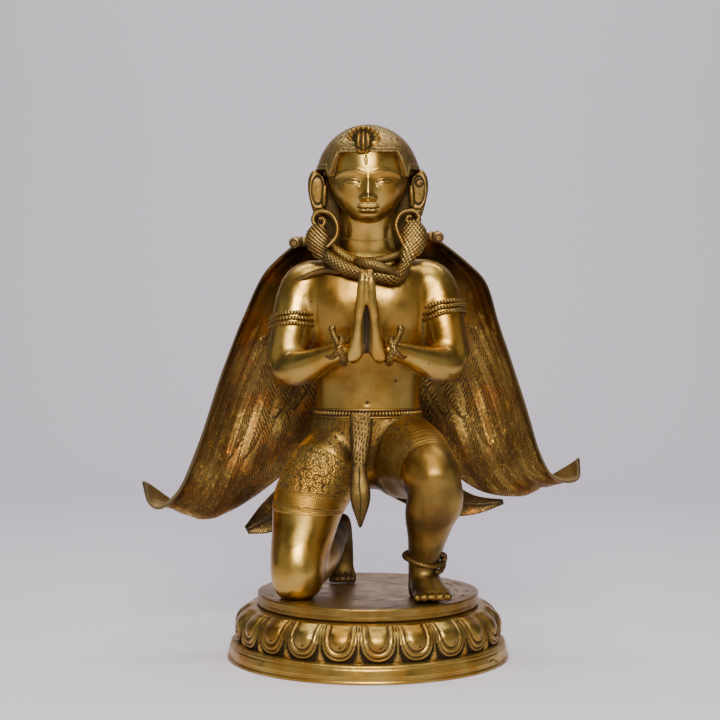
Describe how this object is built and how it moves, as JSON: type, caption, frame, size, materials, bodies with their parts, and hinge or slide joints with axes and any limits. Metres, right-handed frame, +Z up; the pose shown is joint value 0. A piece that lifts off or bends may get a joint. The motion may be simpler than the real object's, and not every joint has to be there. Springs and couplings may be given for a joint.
{
  "type": "garuda figure",
  "caption": "Winged kneeling garuda of cast brass with palms pressed together, on a round lotus-petal plinth.",
  "frame": {"origin": "centre of the plinth's underside", "axes": "+Z up through the head, -Y the way the figure faces, +X towards the figure's own left"},
  "size_m": [0.5117, 0.324, 0.6106],
  "materials": {
    "polished_brass": "polished, with dark patina in the grooves",
    "dark_brass": "brown patina over chiselled feathers"
  },
  "bodies": {
    "root": {"lotus_plinth": "polished_brass", "figure": "polished_brass", "right_wing": "dark_brass", "left_wing": "dark_brass", "tail": "dark_brass"}
  },
  "joints": []
}
